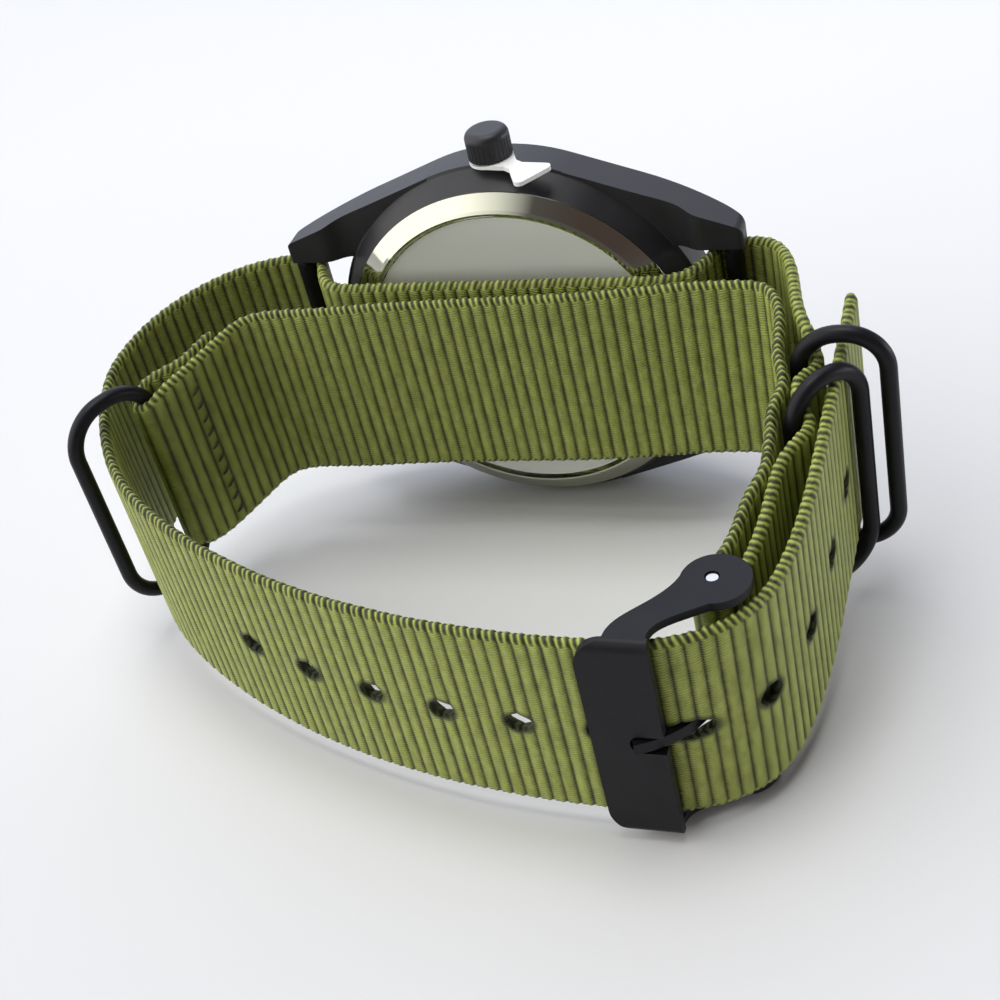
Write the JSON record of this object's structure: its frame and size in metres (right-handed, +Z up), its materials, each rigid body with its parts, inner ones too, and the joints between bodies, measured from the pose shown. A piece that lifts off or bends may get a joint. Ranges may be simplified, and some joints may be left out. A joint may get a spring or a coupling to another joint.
{
  "type": "field watch",
  "caption": "Round field watch on a long ribbed fabric strap with rings and a pin buckle, buckled into a loop and standing on the side of its case.",
  "frame": {"origin": "on the floor, under the middle of the whole watch as it stands", "axes": "+X towards twelve o'clock, +Y out through the dial, +Z up through the crown"},
  "size_m": [0.079, 0.0554, 0.0433],
  "materials": {
    "black_case": "satin black coating",
    "polished_steel": "polished steel",
    "crystal": "clear",
    "black_dial": "matt black",
    "pale_hands": "satin",
    "green_webbing": "ribbed olive green webbing",
    "black_hardware": "satin black coating",
    "white_plastic": "smooth white plastic",
    "seal": "black rubber",
    "copper_wire": "enamelled copper wire",
    "board": "green circuit board",
    "steel": "plain steel",
    "brass": "plain brass"
  },
  "bodies": {
    "watch": {"back_gasket": "seal", "bar_spring_left_high": "steel", "bar_spring_left_low": "steel", "bar_spring_right_high": "steel", "bar_spring_right_low": "steel", "bar_tube_left": "black_hardware", "bar_tube_right": "black_hardware", "battery": "steel", "battery_clamp": "steel", "bridge_screws": "steel", "case_back": "polished_steel", "case_middle": "black_case", "circuit_board": "board", "coil": "copper_wire", "coil_core": "steel", "crown_tube": "steel", "crystal": "crystal", "crystal_seal": "seal", "dial": "black_dial", "movement_holder": "white_plastic", "movement_plate": "brass", "quartz_can": "steel", "stator": "steel", "strap_flap": "green_webbing", "strap_main": "green_webbing", "train_bridge": "steel"},
    "clutch": {"clutch_wheel": "steel"},
    "crown": {"stem": "steel", "crown": "black_case"},
    "crown_tab": {"crown_tab": "white_plastic"},
    "setting_lever": {"setting_lever": "steel"},
    "setting_wheel": {"setting_wheel": "steel"},
    "minute_wheel": {"minute_wheel": "brass"},
    "minute_hand": {"cannon_pinion": "steel", "minute_hand": "pale_hands"},
    "hour_hand": {"hour_wheel": "brass", "hour_hand": "pale_hands"},
    "seconds_hand": {"seconds_wheel": "brass", "seconds_hand": "pale_hands"},
    "third_wheel": {"third_wheel": "brass"},
    "centre_wheel": {"centre_wheel": "brass"},
    "fifth_wheel": {"fifth_wheel": "brass"},
    "rotor": {"rotor": "steel"},
    "bar_pin_left_low": {"bar_pin_left_low": "steel"},
    "bar_pin_left_high": {"bar_pin_left_high": "steel"},
    "bar_pin_right_low": {"bar_pin_right_low": "steel"},
    "bar_pin_right_high": {"bar_pin_right_high": "steel"},
    "flap_ring": {"flap_ring": "black_hardware"},
    "upper_ring": {"upper_ring": "black_hardware"},
    "lower_ring": {"lower_ring": "black_hardware"},
    "buckle": {"buckle_frame": "black_hardware", "buckle_pin": "black_hardware"},
    "tongue": {"buckle_tongue": "black_hardware"}
  },
  "joints": [
    {"name": "crown_turn", "type": "hinge", "parent": "watch", "child": "clutch", "pos_m": [0, 0.02164, 0.028], "axis": [0, 0, 1], "continuous": true},
    {"name": "tab_pull", "type": "slide", "parent": "watch", "child": "crown_tab", "axis": [0.7986, -0.6018, 0], "range_m": [0, 0.0042]},
    {"name": "crown_push", "type": "slide", "parent": "clutch", "child": "crown", "axis": [0, 0, 1], "range_m": [-0.0004, 0]},
    {"name": "lever_swing", "type": "hinge", "parent": "watch", "child": "setting_lever", "pos_m": [0.004, 0.02164, 0.0309], "axis": [0, -1, 0], "range_deg": [-6.6, 0]},
    {"name": "setting_wheel_turn", "type": "hinge", "parent": "watch", "child": "setting_wheel", "pos_m": [0, 0.02284, 0.02625], "axis": [0, 1, 0], "continuous": true},
    {"name": "minute_wheel_turn", "type": "hinge", "parent": "watch", "child": "minute_wheel", "pos_m": [0, 0.02284, 0.023], "axis": [0, 1, 0], "continuous": true},
    {"name": "minute_hand_turn", "type": "hinge", "parent": "watch", "child": "minute_hand", "pos_m": [0, 0.02284, 0.02], "axis": [0, 1, 0], "continuous": true},
    {"name": "hour_hand_turn", "type": "hinge", "parent": "watch", "child": "hour_hand", "pos_m": [0, 0.02284, 0.02], "axis": [0, 1, 0], "continuous": true},
    {"name": "seconds_turn", "type": "hinge", "parent": "watch", "child": "seconds_hand", "pos_m": [0, 0.02284, 0.02], "axis": [0, 1, 0], "continuous": true},
    {"name": "third_wheel_turn", "type": "hinge", "parent": "watch", "child": "third_wheel", "pos_m": [0.00047, 0.02284, 0.01734], "axis": [0, 1, 0], "continuous": true},
    {"name": "centre_wheel_turn", "type": "hinge", "parent": "watch", "child": "centre_wheel", "pos_m": [0, 0.02284, 0.02], "axis": [0, 1, 0], "continuous": true},
    {"name": "fifth_wheel_turn", "type": "hinge", "parent": "watch", "child": "fifth_wheel", "pos_m": [0.00281, 0.02284, 0.02049], "axis": [0, 1, 0], "continuous": true},
    {"name": "rotor_turn", "type": "hinge", "parent": "watch", "child": "rotor", "pos_m": [0.00484, 0.02284, 0.01976], "axis": [0, 1, 0], "continuous": true},
    {"name": "pin_left_low_press", "type": "slide", "parent": "watch", "child": "bar_pin_left_low", "axis": [0, 0, 1], "range_m": [0, 0.001], "stiffness_N_per_m": 2000, "deforming": ["bar_spring_left_low"]},
    {"name": "pin_left_high_press", "type": "slide", "parent": "watch", "child": "bar_pin_left_high", "axis": [0, 0, -1], "range_m": [0, 0.001], "stiffness_N_per_m": 2000, "deforming": ["bar_spring_left_high"]},
    {"name": "pin_right_low_press", "type": "slide", "parent": "watch", "child": "bar_pin_right_low", "axis": [0, 0, 1], "range_m": [0, 0.001], "stiffness_N_per_m": 2000, "deforming": ["bar_spring_right_low"]},
    {"name": "pin_right_high_press", "type": "slide", "parent": "watch", "child": "bar_pin_right_high", "axis": [0, 0, -1], "range_m": [0, 0.001], "stiffness_N_per_m": 2000, "deforming": ["bar_spring_right_high"]},
    {"name": "flap_ring_swing", "type": "hinge", "parent": "watch", "child": "flap_ring", "pos_m": [-0.0343, 0.00254, 0.02], "axis": [0, 0, 1], "range_deg": [-3, 0.5]},
    {"name": "upper_ring_swing", "type": "hinge", "parent": "watch", "child": "upper_ring", "pos_m": [0.0306, 0.00624, 0.02], "axis": [0, 0, 1], "range_deg": [-0.8, 2]},
    {"name": "lower_ring_swing", "type": "hinge", "parent": "watch", "child": "lower_ring", "pos_m": [0.0309, -0.00056, 0.02], "axis": [0, 0, 1], "range_deg": [-1, 0.6]},
    {"name": "buckle_swing", "type": "hinge", "parent": "watch", "child": "buckle", "pos_m": [0.0271, -0.01876, 0.02], "axis": [0, 0, 1], "range_deg": [0, 2.5]},
    {"name": "tongue_swing", "type": "hinge", "parent": "buckle", "child": "tongue", "pos_m": [0.0271, -0.01876, 0.02], "axis": [0, 0, 1], "range_deg": [0, 1.5]}
  ],
  "couplings": [
    {"joint": "crown_push", "follows": "tab_pull", "ratio": -0.095238},
    {"joint": "lever_swing", "follows": "tab_pull", "rad_per_m": -26.309},
    {"joint": "setting_wheel_turn", "follows": "crown_turn", "ratio": -0.65517},
    {"joint": "minute_wheel_turn", "follows": "crown_turn", "ratio": 0.29119},
    {"joint": "minute_hand_turn", "follows": "crown_turn", "ratio": -0.87356},
    {"joint": "hour_hand_turn", "follows": "crown_turn", "ratio": -0.072797},
    {"joint": "third_wheel_turn", "follows": "seconds_turn", "ratio": -0.13333},
    {"joint": "centre_wheel_turn", "follows": "seconds_turn", "ratio": 0.016667},
    {"joint": "fifth_wheel_turn", "follows": "seconds_turn", "ratio": -6},
    {"joint": "rotor_turn", "follows": "seconds_turn", "ratio": 30}
  ]
}
